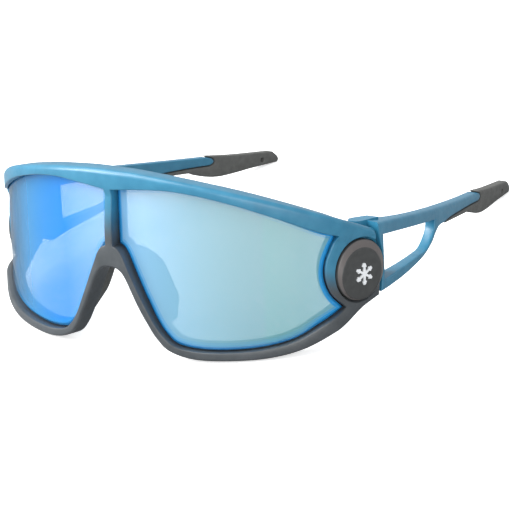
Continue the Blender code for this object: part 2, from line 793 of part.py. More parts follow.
def tip_mesh():
    """The left rubber tip: a tongue under the temple, a step, and a hooked end with a hole."""
    under = [(49.8, -1.72), (54.1, -0.72), (63.1, 0.28), (72.4, 1.08), (80.7, 1.58)]
    step_round = [(80.7, 1.58), (82.7, 2.83), (81.5, 4.43), (78.9, 5.03)]
    top = [(78.9, 5.03), (92.1, 4.83), (109.7, 5.23)]
    end = [(109.7, 5.23), (112, 3.73), (112.8, 2.43), (112, 1.53)]
    bottom = [
        (112, 1.53), (100.1, -0.07), (91.4, -1.47), (84.1, -2.22), (77.6, -1.77), (72.6, -0.57),
        (67.1, -0.67), (58.1, -1.17), (49.8, -1.72),
    ]
    stretches = [
        smooth(bottom, COARSE), smooth(under, COARSE), smooth(step_round, 1.2),
        smooth(top, COARSE), smooth(end, 1.3),
    ]
    order = [row[::-1] for row in reversed(stretches)]
    hole = []
    for share, inwards in ((0, -1), (1, 1)):
        mouth = (circle(TIP_HOLE_RADIUS + INNER_EDGE, TIP_HOLE, 12), share, 0)
        bore = (circle(TIP_HOLE_RADIUS, TIP_HOLE, 12), share, inwards * INNER_EDGE)
        hole += [mouth, bore] if share == 0 else [bore, mouth]
    return temple_skin(order, ([INNER_EDGE] * 5, INNER_EDGE), [hole]).mesh("temple_tip_left")


# ---------------------------------------------------------------- the assembly


def build():
    """Every piece in its place. The right side mirrors the left."""
    clear_scene()
    blue = material("moulded_blue", (0.10, 0.33, 0.47), 0.35)
    dark = material("cap_grey", (0.07, 0.07, 0.068), 0.3)
    lens = material("blue_mirror", (0.35, 0.62, 0.80), 0.05, 0.6)
    rubber = material("grey_rubber", (0.12, 0.12, 0.115), 0.6)
    white = material("white_mark", (0.8, 0.8, 0.8), 0.4)
    steel = material("steel", (0.6, 0.6, 0.6), 0.3, 1.0)
    brass = material("brass", (0.7, 0.5, 0.22), 0.3, 1.0)

    root = add_empty("stand")
    tilt = Matrix.Rotation(math.radians(LENS_LEAN - REST_TILT), 4, "X")
    front = add_empty("front_datum", root, tilt)
    frame = add("front_frame", frame_mesh(), front, blue)
    add("nose_pad", nose_pad_mesh(), front, rubber)

    axis = hinge_plan()[0]
    # The knuckles' outer corners: the frame's reach the lug, and the temple's reach its root.
    web = [(4.2, -KNUCKLE_RADIUS), (4.2, KNUCKLE_RADIUS)]
    block = [(KNUCKLE_RADIUS, 6.5), (-1.2, 5.2)]
    meshes = {
        "lens": lens_mesh(), "cap": cap_mesh(), "badge": badge_mesh(), "screw": disc_screw_mesh(),
        "pocket": pocket_mesh(), "hole": screw_hole_mesh(),
        "pin": hinge_screw_mesh(), "temple": temple_mesh(), "tip": tip_mesh(),
        "frame_bore": turned(
            "frame_bore",
            [(PIN_HOLE, FRAME_KNUCKLE[1] + 1.35), (PIN_HOLE, FRAME_KNUCKLE[0] - 1.9)],
            steps=20,
        ),
        "temple_bore": temple_bore_mesh(),
        "washer": tube("hinge_washer_left", KNUCKLE_RADIUS - 0.2, PIN_HOLE, *WASHER),
        "insert": tube("hinge_insert_left", INSERT_RADIUS, PIN_HOLE, *INSERT),
        "web": prism("web", knuckle_outline(web), *FRAME_KNUCKLE),
        "upper": prism("upper", knuckle_outline(block), *UPPER_KNUCKLE),
        "lower": prism("lower", knuckle_outline(block), *LOWER_KNUCKLE),
    }
    out_turn = float(LENS_TABLE[3][-1])
    for side, word in ((1, "left"), (-1, "right")):

        def sided(key, name, side=side):
            return meshes[key] if side == 1 else mirrored_mesh(meshes[key], name)

        add(f"lens_{word}", sided("lens", f"lens_{word}"), front, lens)
        place = Matrix.Translation(on_front(side * CAP_S, CAP_V, 0))
        place @= Matrix.Rotation(side * out_turn, 4, "Z") @ Matrix.Rotation(math.pi / 2, 4, "X")
        seat = add_empty(f"cap_seat_{word}", front, place)
        add(f"disc_cap_{word}", sided("cap", f"disc_cap_{word}"), seat, dark)
        across, down = BADGE_AT
        mark_at = Vector((side * across, down, CAP_TOP + BADGE_GAP)) * MM
        add(f"disc_badge_{word}", sided("badge", f"disc_badge_{word}"), seat, white, mark_at)
        screw_at = Vector((-side * SCREW_IN, 0, 0)) * MM
        add(f"disc_screw_{word}", sided("screw", f"disc_screw_{word}"), seat, steel, screw_at)

        at = Vector((side * axis[0], axis[1], 0)) * MM
        add(f"hinge_screw_{word}", sided("pin", f"hinge_screw_{word}"), front, steel, at)
        pocket_tool = add(f"pocket_tool_{word}", sided("pocket", f"pocket_{word}"), seat, None)
        boolean(frame, pocket_tool, "DIFFERENCE")
        hole_tool = add(f"hole_tool_{word}", sided("hole", f"hole_{word}"), seat, None, screw_at)
        boolean(frame, hole_tool, "DIFFERENCE")
        web_tool = add(f"web_tool_{word}", sided("web", f"web_{word}"), front, None)
        boolean(frame, web_tool, "UNION")
        pin_tool = add(f"pin_tool_{word}", sided("frame_bore", f"pin_{word}"), front, None, at)
        boolean(frame, pin_tool, "DIFFERENCE")
        add(f"hinge_washer_{word}", sided("washer", f"hinge_washer_{word}"), front, steel, at)

        pivot_at = Vector((side * axis[0], axis[1], HINGE_V)) * MM
        lean = Matrix.Rotation(math.radians(-LENS_LEAN), 4, "X")
        pivot = add_empty(f"temple_{word}_pivot", front, Matrix.Translation(pivot_at) @ lean)
        temple = add(f"temple_{word}", sided("temple", f"temple_{word}"), pivot, blue)
        add(f"temple_tip_{word}", sided("tip", f"temple_tip_{word}"), pivot, rubber)
        for key in ("upper", "lower"):
            knuckle_tool = add(f"{key}_tool_{word}", sided(key, f"{key}_{word}"), front, None)
            boolean(temple, knuckle_tool, "UNION")
        bore_tool = add(f"bore_tool_{word}", sided("temple_bore", f"bore_{word}"), front, None, at)
        boolean(temple, bore_tool, "DIFFERENCE")
        add(f"hinge_insert_{word}", sided("insert", f"hinge_insert_{word}"), front, brass, at)
    stand_on_origin(root)


def stand_on_origin(root):
    """Moves everything so that the middle of its base is the origin."""
    bpy.context.view_layer.update()
    points = [
        found.matrix_world @ corner.co
        for found in bpy.data.objects
        if found.type == "MESH" and not found.hide_render
        for corner in found.data.vertices
    ]
    low = [min(point[axis] for point in points) for axis in range(3)]
    high = [max(point[axis] for point in points) for axis in range(3)]
    root.location = (-(low[0] + high[0]) / 2, -(low[1] + high[1]) / 2, -low[2])


build()
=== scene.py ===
import json
import math

import bpy
import numpy as np
from mathutils import Matrix, Vector
from mathutils.geometry import delaunay_2d_cdt


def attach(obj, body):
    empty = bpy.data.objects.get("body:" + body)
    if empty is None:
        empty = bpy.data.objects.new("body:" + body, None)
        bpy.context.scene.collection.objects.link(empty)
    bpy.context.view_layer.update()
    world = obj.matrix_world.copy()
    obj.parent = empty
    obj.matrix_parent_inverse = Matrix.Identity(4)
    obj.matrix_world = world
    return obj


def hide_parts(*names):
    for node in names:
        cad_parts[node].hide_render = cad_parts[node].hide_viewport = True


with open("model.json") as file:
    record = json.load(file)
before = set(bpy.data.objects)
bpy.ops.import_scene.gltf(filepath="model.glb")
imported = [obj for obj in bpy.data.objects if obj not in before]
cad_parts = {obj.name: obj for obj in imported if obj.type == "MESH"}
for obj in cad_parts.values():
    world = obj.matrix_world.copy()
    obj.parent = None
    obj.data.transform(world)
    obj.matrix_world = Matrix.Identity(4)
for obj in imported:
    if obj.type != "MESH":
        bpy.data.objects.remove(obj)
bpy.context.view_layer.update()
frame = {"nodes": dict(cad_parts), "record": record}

# The glasses' looks: a fine mesh for each moulded piece, drawn on the same surfaces as the CAD,
# and a material for every piece. s runs along the lens surface to the wearer's left, v up it and
# n straight out of it. Sizes are in millimetres, and MM turns them into metres.

MM = 0.001
JOINT = frame["record"]["behaviour"]["joints"][0]

# The lens surface, as in the CAD.
SURFACE_TURN = [
    (0, 0), (20, 12.1), (40, 27.0), (50, 34.9), (58, 42.8), (64, 50.8), (67.5, 58.0), (70.5, 74.0),
]  # s, and the surface's turn in degrees
TABLE_STEP = 0.25
SOFTENED_OVER = 4.0
LENS_LEAN = 8.2

LENS_THICKNESS = 2.0
FIT_GAP = 0.35
BROW_PROUD = 2.8
BROW_END_PROUD = 1.3
RIM_PROUD = 2.0
NOSE_PROUD = 3.0
LUG_PROUD = 0.3
FRAME_BACK = -3.6
FLANGE_FRONT = -LENS_THICKNESS - FIT_GAP
BROW_OVERLAP = 1.0

CAP_S, CAP_V = 77.6, -24.45
CAP_RADIUS = 9.2
CAP_TOP = 1.5
POCKET_FLOOR = -1.3
SCREW_IN = 3.0
SCREW_HOLE = 1.35
SCREW_HEAD_HOLE = 2.6
SCREW_HEAD_FLOOR = -2.1

HINGE_S = 82.5
KNUCKLE_RADIUS = 2.5
HINGE_N = FRAME_BACK - 0.3 - KNUCKLE_RADIUS
HINGE_V = -15.0
UPPER_KNUCKLE = (-15.0, -11.3)
FRAME_KNUCKLE = (-24.1, -15.35)
LOWER_KNUCKLE = (-29.8, -25.0)
PIN_HOLE = 1.1
PIN_BORE_TOP = -12.2
PIN_HEAD_HOLE = 1.7
PIN_HEAD_TOP = -28.0
INSERT_HOLE = 1.9
INSERT_TOP = -12.5

TEMPLE_THICKNESS = 3.6
TEMPLE_ROOT_EXTRA = 8.0
ROOT_LENGTH = 7.0
MITRE = 0.4
MITRE_REACH = 16.0
TEMPLE_CURVE = [(-9, 8.2), (3, 7.3), (31.1, 4.5), (57.1, 0.35), (83.1, -4.85), (115.1, -11.25)]
STRAIGHT_TIP = 83.1

FINE = 0.9  # spacing of the points along the outlines
FILL = 1.5  # spacing of the points inside the faces
CIRCLE_STEPS = 96
REFLECTION_SWEEP_FROM = 46.4
REFLECTION_SWEEP_OVER = 1.5
OVER_FLANGE = 0.5
FLOOR_GLOW = 0.6
ROOM_LIGHT = (0.6, 0.62, 0.64)


# ---------------------------------------------------------------- curves and surfaces


def lens_table():
    """s, x, depth and turn along the lens surface in plan."""
    s = np.arange(0, 100 + TABLE_STEP, TABLE_STEP)
    turn = np.radians(np.interp(s, *zip(*SURFACE_TURN)))
    reach = round(SOFTENED_OVER / TABLE_STEP / 2)
    padded = np.concatenate([-turn[reach:0:-1], turn, np.full(reach, turn[-1])])
    turn = np.convolve(padded, np.full(2 * reach + 1, 1 / (2 * reach + 1)), "valid")
    middle = (turn[1:] + turn[:-1]) / 2
    x = np.concatenate([[0], np.cumsum(np.cos(middle)) * TABLE_STEP])
    depth = np.concatenate([[0], np.cumsum(np.sin(middle)) * TABLE_STEP])
    return s, x, depth, turn


LENS_TABLE = lens_table()
LUG_TURN = float(LENS_TABLE[3][-1])


def on_front(s, v, n):
    side = -1 if s < 0 else 1
    x, depth, turn = (np.interp(abs(s), LENS_TABLE[0], row) for row in LENS_TABLE[1:])
    return Vector((side * (x + n * math.sin(turn)), depth - n * math.cos(turn), v)) * MM


def on_temple(y, z, x):
    return Vector((x, y, z)) * MM


def plain(u, v, n):
    return Vector((u, v, n)) * MM


def smooth(points, step):
    given = np.array(points, float)
    if len(given) == 2:
        dense = given
    else:
        padded = np.vstack([2 * given[0] - given[1], given, 2 * given[-1] - given[-2]])
        rows = []
        for before, start, end, after in zip(padded, padded[1:], padded[2:], padded[3:]):
            for t in np.linspace(0, 1, 16, endpoint=False):
                bend = (2 * before - 5 * start + 4 * end - after) * t * t
                twist = (3 * start - before - 3 * end + after) * t**3
                rows.append((2 * start + (end - before) * t + bend + twist) / 2)
        dense = np.vstack([rows, given[-1]])
    return resample(dense, max(1, round(length_of(dense) / step)))


def length_of(points):
    return float(np.linalg.norm(np.diff(points, axis=0), axis=1).sum())


def resample(points, pieces):
    along = np.concatenate([[0], np.cumsum(np.linalg.norm(np.diff(points, axis=0), axis=1))])
    wanted = np.linspace(0, along[-1], pieces + 1)
    return np.column_stack([np.interp(wanted, along, column) for column in points.T])


def normals(points):
    ahead = np.gradient(points, axis=0)
    ahead /= np.linalg.norm(ahead, axis=1)[:, None]
    return np.column_stack([-ahead[:, 1], ahead[:, 0]])


def shifted(stretches, distances):
    corners = []
    for i, stretch in enumerate(stretches):
        a, b = normals(stretches[i - 1])[-1], normals(stretch)[0]
        da, db = distances[i - 1], distances[i]
        dot = float(a @ b)
        if dot > 0.97:
            move = (a + b) / 2 * (da + db) / 2
        else:
            move = (da * (a - dot * b) + db * (b - dot * a)) / (1 - dot * dot)
        corners.append(stretch[0] + move)
    everything = np.vstack([resample(row, round(length_of(row) / 0.12) + 1) for row in stretches])
    result = []
    for i, (stretch, distance) in enumerate(zip(stretches, distances)):
        moved = stretch + normals(stretch) * distance
        gap = np.linalg.norm(moved[:, None] - everything[None], axis=2).min(axis=1)
        ends = corners[i], corners[(i + 1) % len(stretches)]
        keep = gap > abs(distance) * 0.98
        for end, old in zip(ends, (stretch[0], stretch[-1])):
            keep &= np.linalg.norm(moved - old, axis=1) > np.linalg.norm(end - old) * 1.01
        kept = moved[1:-1][keep[1:-1]]
        result.append(resample(np.vstack([ends[0], kept, ends[1]]), len(stretch) - 1))
    return result


def closed(stretches):
    return np.vstack([stretch[:-1] for stretch in stretches])


def mirrored(points):
    return [(-u, v) for u, v in reversed(points)]


def circle(radius, centre=(0.0, 0.0), steps=CIRCLE_STEPS):
    angles = np.arange(steps) * 2 * math.pi / steps
    return np.column_stack([centre[0] + radius * np.cos(angles), centre[1] + radius * np.sin(angles)])


def ease(value):
    value = np.clip(value, 0, 1)
    return value * value * (3 - 2 * value)


def inside(point, outline):
    x, y = outline[:, 0] - point[0], outline[:, 1] - point[1]
    next_x, next_y = np.roll(x, -1), np.roll(y, -1)
    crosses = (y > 0) != (next_y > 0)
    reach = x[crosses] - y[crosses] * (next_x - x)[crosses] / (next_y - y)[crosses]
    return bool(np.count_nonzero(reach > 0) % 2)


# ---------------------------------------------------------------- building meshes


class Skin:
    """A closed surface made of rings of points, walls between rings and fills."""

    def __init__(self, place):
        self.place = place
        self.points = []
        self.flat = []
        self.faces = []

    def ring(self, outline, height):
        heights = np.broadcast_to(height, len(outline))
        start = len(self.points)
        for (u, v), n in zip(outline, heights):
            self.points.append(self.place(u, v, n))
            self.flat.append((u, v))
        return list(range(start, len(self.points)))

    def wall(self, rings):
        for front, back in zip(rings, rings[1:]):
            for i, j in zip(range(len(front)), [*range(1, len(front)), 0]):
                self.faces.append((front[i], back[i], back[j], front[j]))

    def fill(self, rings, height=None, spacing=0.0, back=False):
        """Fills what the rings bound. height gives the height of an inner point from (u, v)."""
        used = [index for ring in rings for index in ring]
        flat = [self.flat[index] for index in used]
        border = np.array(flat)
        holes = [np.array([self.flat[index] for index in ring]) for ring in rings[1:]]
        edges = []
        start = 0
        for ring in rings:
            edges += [(start + i, start + (i + 1) % len(ring)) for i in range(len(ring))]
            start += len(ring)
        if spacing:
            low, high = border.min(axis=0), border.max(axis=0)
            for u in np.arange(low[0] + spacing / 2, high[0], spacing):
                column = [(u, v) for v in np.arange(low[1] + spacing / 2, high[1], spacing)]
                for point in column:
                    if np.linalg.norm(border - point, axis=1).min() > spacing * 0.6:
                        flat.append(point)
        result = delaunay_2d_cdt([Vector(p) for p in flat], edges, [], 1, 1e-7)
        index_of = {}
        for face in result[2]:
            middle = np.mean([result[0][corner] for corner in face], axis=0)
            if any(inside(middle, hole) for hole in holes):
                continue
            for corner in face:
                origin = result[3][corner][0]
                if corner in index_of:
                    continue
                if origin >= start:
                    u, v = flat[origin]
                    self.points.append(self.place(u, v, height(u, v)))
                    self.flat.append((u, v))
                    index_of[corner] = len(self.points) - 1
                else:
                    index_of[corner] = used[origin]
            corners = [index_of[corner] for corner in face]
            self.faces.append(tuple(reversed(corners)) if back else tuple(corners))

    def mesh(self, name, sharp=40):
        mesh = bpy.data.meshes.new(name)
        mesh.from_pydata(self.points, [], self.faces)
        mesh.shade_smooth()
        mesh.set_sharp_from_angle(angle=math.radians(sharp))
        return mesh


def turned(name, profile, steps=CIRCLE_STEPS):
    skin = Skin(plain)
    rings = [skin.ring(circle(radius, steps=steps), height) for radius, height in profile]
    skin.wall(rings)
    skin.fill([rings[0]])
    skin.fill([rings[-1]], back=True)
    return skin.mesh(name)


def prism(name, outline, low, high):
    skin = Skin(plain)
    rings = [skin.ring(np.array(outline), high), skin.ring(np.array(outline), low)]
    skin.wall(rings)
    skin.fill([rings[0]])
    skin.fill([rings[1]], back=True)
    return skin.mesh(name)


def put(name, mesh):
    made = bpy.data.objects.new(name, mesh)
    bpy.context.scene.collection.objects.link(made)
    return made


def combined(name, mesh, steps):
    """The mesh after these Booleans, each an operation and another mesh in the same place."""
    base = put(name, mesh)
    tools = []
    for operation, tool_mesh in steps:
        tool = put(f"{name}_tool", tool_mesh)
        change = base.modifiers.new("cut", "BOOLEAN")
        change.operation = operation
        change.object = tool
        change.solver = "EXACT"
        tools.append(tool)
    bpy.context.view_layer.update()
    graph = bpy.context.evaluated_depsgraph_get()
    result = bpy.data.meshes.new_from_object(base.evaluated_get(graph))
    for used in [base, *tools]:
        bpy.data.objects.remove(used, do_unlink=True)
    result.name = name
    result.materials.clear()
    result.shade_smooth()
    result.set_sharp_from_angle(angle=math.radians(40))
    return result


def moved(mesh, matrix):
    made = mesh.copy()
    made.transform(matrix)
    return made


def flipped(mesh, name):
    made = mesh.copy()
    made.name = name
    made.transform(Matrix.Diagonal((-1, 1, 1, 1)))
    made.flip_normals()
    return made


# ---------------------------------------------------------------- where things are


def hinge_plan():
    axis = on_front(HINGE_S, 0, HINGE_N) / MM
    out = np.array([math.sin(LUG_TURN), -math.cos(LUG_TURN)])
    along = np.array([math.cos(LUG_TURN), math.sin(LUG_TURN)])
    return np.array([axis.x, axis.y]), out, along


AXIS = hinge_plan()[0]
TILT = -math.atan2(JOINT["axis"][1], JOINT["axis"][2])
TURNED = Matrix.Rotation(TILT, 4, "X")
ORIGIN = Vector(JOINT["pos_m"]) - TURNED @ (Vector((AXIS[0], AXIS[1], HINGE_V)) * MM)
FRONT = Matrix.Translation(ORIGIN) @ TURNED
TEMPLE_TURN = TURNED @ Matrix.Rotation(math.radians(-LENS_LEAN), 4, "X")
TEMPLE = Matrix.Translation(Vector(JOINT["pos_m"])) @ TEMPLE_TURN


def cap_seat(side):
    place = Matrix.Translation(on_front(side * CAP_S, CAP_V, 0))
    return place @ Matrix.Rotation(side * LUG_TURN, 4, "Z") @ Matrix.Rotation(math.pi / 2, 4, "X")


# ---------------------------------------------------------------- outlines


def front_outline(step):
    lower = [
        (2.5, -22.8), (4.1, -24.0), (5.4, -26.0), (7.3, -30.0), (9.2, -34.0), (11.6, -38.4),
        (14.6, -43.2), (18.4, -46.6), (26, -48.5), (37, -48.5), (48, -47.6),
        (58, -45.3), (68.3, -40.8), (76.5, -37.0), (81.3, -35.2), (85.3, -33.8),
    ]
    end = [(85.3, -33.8), (85.8, -26.0), (84.6, -17.6), (82.8, -12.8)]
    top = [(82.8, -12.8), (76.4, -10.1), (66.3, -6.1), (54, -1.8), (41, 1.9), (25, 5.0), (10, 6.7)]
    return [
        smooth([*mirrored(lower), (0, -22.3), *lower], step),
        smooth(end, step),
        smooth([*top, (0, 7.0), *mirrored(top)], step),
        smooth(mirrored(end), step),
    ]


def lens_outline(step):
    nose_and_bottom = [
        (1.6, -15.6), (3.2, -16.4), (4.6, -18.3), (5.8, -21.0), (7.6, -25.0), (9.5, -29.2),
        (11.5, -33.2), (14.2, -38.4), (17.2, -42.3), (21.0, -44.8), (30, -45.8), (43.6, -45.0),
        (55, -42.6), (63.6, -38.3), (71.1, -34.6),
    ]
    hollow = [(71.1, -34.6), (66.9, -30.5), (64.8, -25.5), (64.9, -20.6), (66.7, -16.1), (69.4, -11.6)]
    top = [
        (69.4, -11.6), (63.2, -9.5), (54, -5.6), (45, -2.1), (38.3, 0.1), (29, 2.3), (19.5, 3.4),
        (10, 3.0), (1.6, 2.2),
    ]
    return [
        smooth([(1.6, 2.2), (1.6, -15.6)], step),
        smooth(nose_and_bottom, step),
        smooth(hollow, step),
        smooth(top, step),
    ]


def proud_at(s, v):
    """How far the frame's front stands out of the lens surface."""
    s = np.abs(s)
    low_rim = ease((-33 - v) / 5) * np.clip((80 - s) / 12, 0, 1)
    rim = RIM_PROUD + (LUG_PROUD - RIM_PROUD) * ease((s - 56) / 6) * (1 - low_rim)
    rim = rim + (NOSE_PROUD - RIM_PROUD) * ease((18 - s) / 12) * ease((2 - v) / 14)
    brow = BROW_PROUD + (BROW_END_PROUD - BROW_PROUD) * ease((s - 40) / 24)
    brow_line = np.interp(s, [0, 20, 45, 60, 66, 85], [0.5, 1.5, -4.5, -11, -13, -14.5])
    return rim + (brow - rim) * ease((v - brow_line + 1.5) / 2.0)


def proud(outline):
    return proud_at(outline[:, 0], outline[:, 1])


def temple_outside(y):
    curve = smooth(TEMPLE_CURVE, 1.0)
    curve = np.vstack([curve[curve[:, 0] < STRAIGHT_TIP], TEMPLE_CURVE[-2:]])
    return np.interp(y, curve[:, 0], curve[:, 1])


def temple_inside(y):
    thickness = TEMPLE_THICKNESS + TEMPLE_ROOT_EXTRA * np.exp(-np.maximum(y, 0) / ROOT_LENGTH)
    return temple_outside(y) - thickness


def mitre(outline, depth):
    """Moves the front end back with depth below the outer face, to lie along the lug's end."""
    result = np.array(outline, float)
    front = np.clip(1 - result[:, 0] / MITRE_REACH, 0, 1)
    result[:, 0] += front * MITRE * depth
    return result


def temple_outline(step):
    bottom = [
        (4.7, -17.6), (9.3, -16.8), (18.8, -14.7), (28.0, -12.1), (34.6, -9.7), (39.5, -6.7),
        (42.2, -3.9), (44.9, -2.1), (49.5, -1.37),
    ]
    under = [(49.5, -1.37), (54.1, -0.37), (63.1, 0.63), (72.4, 1.43), (80.5, 1.93)]
    end = [(80.5, 1.93), (82.3, 2.93), (81.1, 4.23), (78.6, 4.68)]
    top = [(78.6, 4.68), (67.1, 4.33), (53.1, 4.03), (31.1, 3.75), (-0.8, 3.6)]
    front = [(-0.8, 3.6), (-0.4, 1.8), (1.9, -2.8), (3.6, -6.0), (4.4, -9.5), (4.7, -17.6)]
    return [
        smooth(bottom, step),
        smooth(under, step),
        smooth(end, step / 2),
        smooth(top, step),
        smooth(front, step),
    ]


def window_outline(step, front_shift):
    bottom = [(6.5 + front_shift, -14.2 + front_shift * 0.2), (33.6, -8.8)]
    rear = [(33.6, -8.8), (36.0, -7.8), (38.8, -5.4), (40.5, -2.9), (40.6, 0.2)]
    top = [(40.6, 0.2), (3.6 + front_shift, -0.4)]
    front = [top[-1], bottom[0]]
    return [smooth(bottom, step), smooth(rear, step), smooth(top, step), smooth(front, step)]


def tip_outline(step):
    under = [(49.8, -1.72), (54.1, -0.72), (63.1, 0.28), (72.4, 1.08), (80.7, 1.58)]
    step_round = [(80.7, 1.58), (82.7, 2.83), (81.5, 4.43), (78.9, 5.03)]
    top = [(78.9, 5.03), (92.1, 4.83), (109.7, 5.23)]
    end = [(109.7, 5.23), (112, 3.73), (112.8, 2.43), (112, 1.53)]
    bottom = [
        (112, 1.53), (100.1, -0.07), (91.4, -1.47), (84.1, -2.22), (77.6, -1.77), (72.6, -0.57),
        (67.1, -0.67), (58.1, -1.17), (49.8, -1.72),
    ]
    stretches = [
        smooth(bottom, step), smooth(under, step), smooth(step_round, step / 2),
        smooth(top, step), smooth(end, step / 2),
    ]
    return [row[::-1] for row in reversed(stretches)]


# ---------------------------------------------------------------- the front


def rounding(radius, steps=4):
    """(inset, drop) pairs of a quarter round, from the face to the wall."""
    angles = np.linspace(0, math.pi / 2, steps + 1)
    return [(radius * (1 - math.sin(a)), radius * (1 - math.cos(a))) for a in angles]


def front_mesh():
    skin = Skin(on_front)
    outer = front_outline(FINE)
    sizes = np.array([0.7, 0.7, 1.5, 0.7])
    outside = closed(outer)
    radius_at = np.concatenate([np.full(len(row) - 1, size) for row, size in zip(outer, sizes)])
    rings = []
    for inset, drop in rounding(1.0, 5):
        line = closed(shifted(outer, list(sizes * inset)))
        rings.append(skin.ring(line, proud(outside) - radius_at * drop))
    for inset, drop in reversed(rounding(0.6, 3)):
        rings.append(skin.ring(closed(shifted(outer, [inset] * 4)), FRAME_BACK + drop))
    skin.wall(rings)
    fronts, backs = [rings[0]], [rings[-1]]
    lens = lens_outline(FINE)
    rim = np.array([-0.35, -0.35, -0.35, BROW_OVERLAP])
    lip = closed(shifted(lens, list(rim)))
    seat = closed(shifted(lens, [-0.5] * 4))
    ledge_at = np.array([1.3, 2.0, 1.2, 2.0])
    opening = []
    for inset, drop in rounding(0.35, 3):
        line = closed(shifted(lens, list(rim - inset)))
        opening.append((line, proud(lip) - drop))
    under_lip = np.minimum(FIT_GAP, proud(lip) - 0.6)
    opening += [(lip, under_lip), (seat, under_lip), (seat, FLANGE_FRONT)]
    for inset, drop in rounding(0.25, 2):
        opening.append((closed(shifted(lens, list(ledge_at - inset))), FLANGE_FRONT - drop))
    for inset, drop in reversed(rounding(0.25, 2)):
        opening.append((closed(shifted(lens, list(ledge_at - inset))), FRAME_BACK + drop))
    for side in (1, -1):
        order = slice(None, None, -side)
        made = []
        for outline, height in opening:
            level = np.broadcast_to(height, len(outline))
            made.append(skin.ring((outline * (side, 1))[order], level[order]))
        skin.wall(made)
        fronts.append(made[0])
        backs.append(made[-1])
    skin.fill(fronts, height=lambda u, v: float(proud_at(u, v)), spacing=FILL)
    skin.fill(backs, height=lambda u, v: FRAME_BACK, spacing=FILL * 2, back=True)
    return skin.mesh("front_shell")


def knuckle_outline(corners):
    axis, out, along = hinge_plan()
    first = math.atan2(corners[-1][1], corners[-1][0])
    last = math.atan2(corners[0][1], corners[0][0]) + 2 * math.pi
    start = first + math.acos(min(1, KNUCKLE_RADIUS / math.hypot(*corners[-1])))
    stop = last - math.acos(min(1, KNUCKLE_RADIUS / math.hypot(*corners[0])))
    outline = [axis + out * a + along * b for a, b in corners]
    for angle in np.linspace(start, stop, 40):
        outline.append(axis + KNUCKLE_RADIUS * (out * math.cos(angle) + along * math.sin(angle)))
    return outline


def both(mesh):
    return [mesh, flipped(mesh, mesh.name)]


def whole_front():
    pocket_radius = CAP_RADIUS + FIT_GAP
    pocket = turned("pocket", [
        (pocket_radius + 1.2, 4.0), (pocket_radius + 0.35, LUG_PROUD), (pocket_radius, LUG_PROUD - 0.35),
        (pocket_radius, POCKET_FLOOR),
    ])
    hole = turned("hole", [
        (SCREW_HOLE, POCKET_FLOOR + 0.5), (SCREW_HOLE, SCREW_HEAD_FLOOR),
        (SCREW_HEAD_HOLE, SCREW_HEAD_FLOOR), (SCREW_HEAD_HOLE, FRAME_BACK - 1),
    ], steps=40)
    web = prism("web", knuckle_outline([(4.2, -KNUCKLE_RADIUS), (4.2, KNUCKLE_RADIUS)]), *FRAME_KNUCKLE)
    bore = turned("bore", [(PIN_HOLE, -14.0), (PIN_HOLE, -26.0)], steps=40)
    seat = cap_seat(1)
    steps = [("DIFFERENCE", tool) for tool in both(moved(pocket, seat))]
    hole_place = seat @ Matrix.Translation(Vector((-SCREW_IN, 0, 0)) * MM)
    steps += [("DIFFERENCE", tool) for tool in both(moved(hole, hole_place))]
    steps += [("UNION", tool) for tool in both(web)]
    bore_place = Matrix.Translation(Vector((*AXIS, 0)) * MM)
    steps += [("DIFFERENCE", tool) for tool in both(moved(bore, bore_place))]
    return combined("front_shell", front_mesh(), steps)


def lens_mesh():
    skin = Skin(on_front)
    outline = lens_outline(FINE)
    edge = closed(outline)
    rings = [
        skin.ring(closed(shifted(outline, [1.85, 2.35, 1.85, 2.35])), 0),
        skin.ring(closed(shifted(outline, [1.7, 2.2, 1.7, 2.2])), 0),
        skin.ring(closed(shifted(outline, [1.6] * 4)), 0),
        skin.ring(closed(shifted(outline, [1.5] * 4)), 0),
        skin.ring(closed(shifted(outline, [1.0] * 4)), 0),
        skin.ring(closed(shifted(outline, [0.9] * 4)), -0.03),
        skin.ring(closed(shifted(outline, [0.1] * 4)), -0.6),
        skin.ring(edge, -0.72),
        skin.ring(edge, 0.15 - LENS_THICKNESS),
        skin.ring(closed(shifted(outline, [0.15] * 4)), -LENS_THICKNESS),
    ]
    skin.wall(rings)
    skin.fill([rings[0]], height=lambda u, v: 0.0, spacing=FILL)
    skin.fill([rings[-1]], height=lambda u, v: -LENS_THICKNESS, spacing=FILL, back=True)
    mesh = skin.mesh("lens_blue_left", sharp=25)
    # The edge mask paints a bright blue highlight of light through the lens edge, at half strength over the
    # flange, stronger near the nose and the outer end.
    edge_glow = np.zeros(len(mesh.vertices))
    edge_glow[rings[1][0]:rings[3][0]] = OVER_FLANGE
    edge_glow[rings[3][0]:rings[9][0]] = 1
    along = np.array(skin.flat)[:, 0]
    edge_glow *= np.interp(along, [14, 26, 58, 64], [0.8, 0.35, 0.35, 1.0])
    # The sweep marks the lens's outer end, where a greener painted reflection goes.
    reflection_sweep = ease((along - REFLECTION_SWEEP_FROM) / REFLECTION_SWEEP_OVER)
    for name, values in (("edge_glow", edge_glow), ("reflection_sweep", reflection_sweep)):
        mesh.attributes.new(name, "FLOAT", "POINT").data.foreach_set("value", values)
    return mesh


